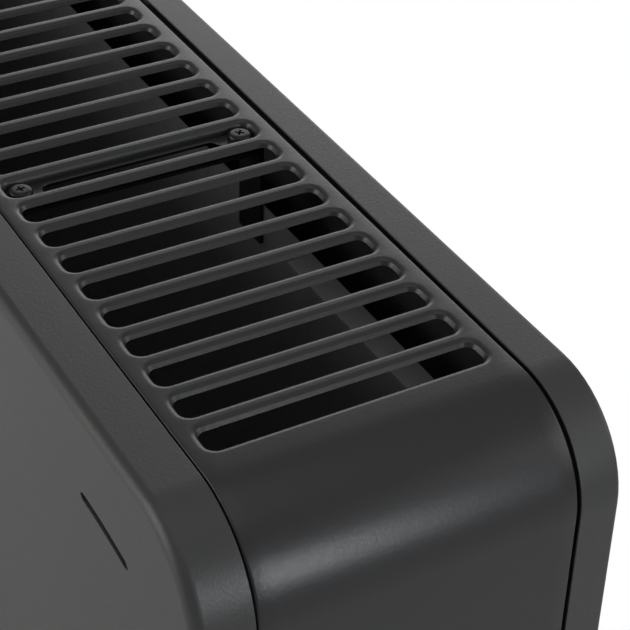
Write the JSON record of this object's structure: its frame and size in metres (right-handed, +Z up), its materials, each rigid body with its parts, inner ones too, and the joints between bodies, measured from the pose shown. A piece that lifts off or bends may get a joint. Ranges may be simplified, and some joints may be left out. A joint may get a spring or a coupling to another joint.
{
  "type": "electric convector heater",
  "caption": "Free-standing electric convector heater: slotted steel grille band between two drawn covers, with finned heating elements, end control panel and moulded feet.",
  "frame": {"origin": "on the floor below the middle of the body", "axes": "+X along the heater towards the end with the controls, front face looks along -Y, +Z up"},
  "size_m": [0.5298, 0.196, 0.398],
  "materials": {
    "cover_paint": "satin powder coat",
    "band_paint": "satin powder coat",
    "galvanised_steel": "galvanised sheet",
    "black_steel": "blackened steel",
    "cast_fins": "cast",
    "element_sheath": "drawn tube",
    "white_ceramic": "unglazed ceramic",
    "black_moulding": "fine texture",
    "knob_moulding": "semi gloss",
    "rocker_moulding": "gloss",
    "amber_lens": "clear tinted",
    "brass_fittings": "bare",
    "dial_print": "printed ink",
    "foot_moulding": "fine texture",
    "foot_rubber": "matte"
  },
  "bodies": {
    "housing": {"front_cover": "cover_paint", "rear_cover": "cover_paint", "grille_band": "band_paint", "bottom_plate": "galvanised_steel", "grille_screws": "black_steel", "cover_screws": "black_steel", "hanger_strip_left": "galvanised_steel", "hanger_strip_right": "galvanised_steel", "front_shield": "galvanised_steel", "rear_shield": "galvanised_steel", "element_fins_low": "cast_fins", "element_fins_high": "cast_fins", "element_rod_low": "element_sheath", "element_rod_high": "element_sheath", "ceramic_bushes": "white_ceramic", "element_holder_left": "galvanised_steel", "element_holder_right": "galvanised_steel", "thermal_cutout": "black_moulding", "control_panel": "black_moulding", "thermostat_body": "black_moulding", "thermostat_screws": "black_steel", "switch_housing_one": "black_moulding", "switch_housing_two": "black_moulding", "switch_terminals": "brass_fittings", "pilot_lens": "amber_lens", "terminal_block": "white_ceramic", "terminal_clamps": "brass_fittings", "cord_gland": "black_moulding", "foot_left": "foot_moulding", "foot_right": "foot_moulding", "foot_screws": "black_steel", "foot_pads": "foot_rubber"},
    "thermostat": {"thermostat_knob": "knob_moulding", "thermostat_shaft": "brass_fittings"},
    "rocker_first": {"rocker_one": "rocker_moulding"},
    "rocker_second": {"rocker_two": "rocker_moulding"}
  },
  "joints": [
    {"name": "thermostat_turn", "type": "hinge", "parent": "housing", "child": "thermostat", "pos_m": [0.253, 0.0015, 0.237], "axis": [-1, 0, 0], "range_deg": [0, 270]},
    {"name": "rocker_first_tilt", "type": "hinge", "parent": "housing", "child": "rocker_first", "pos_m": [0.2485, -0.0105, 0.189], "axis": [0, 1, 0], "range_deg": [-20, 0]},
    {"name": "rocker_second_tilt", "type": "hinge", "parent": "housing", "child": "rocker_second", "pos_m": [0.2485, 0.0135, 0.189], "axis": [0, 1, 0], "range_deg": [-20, 0]}
  ]
}
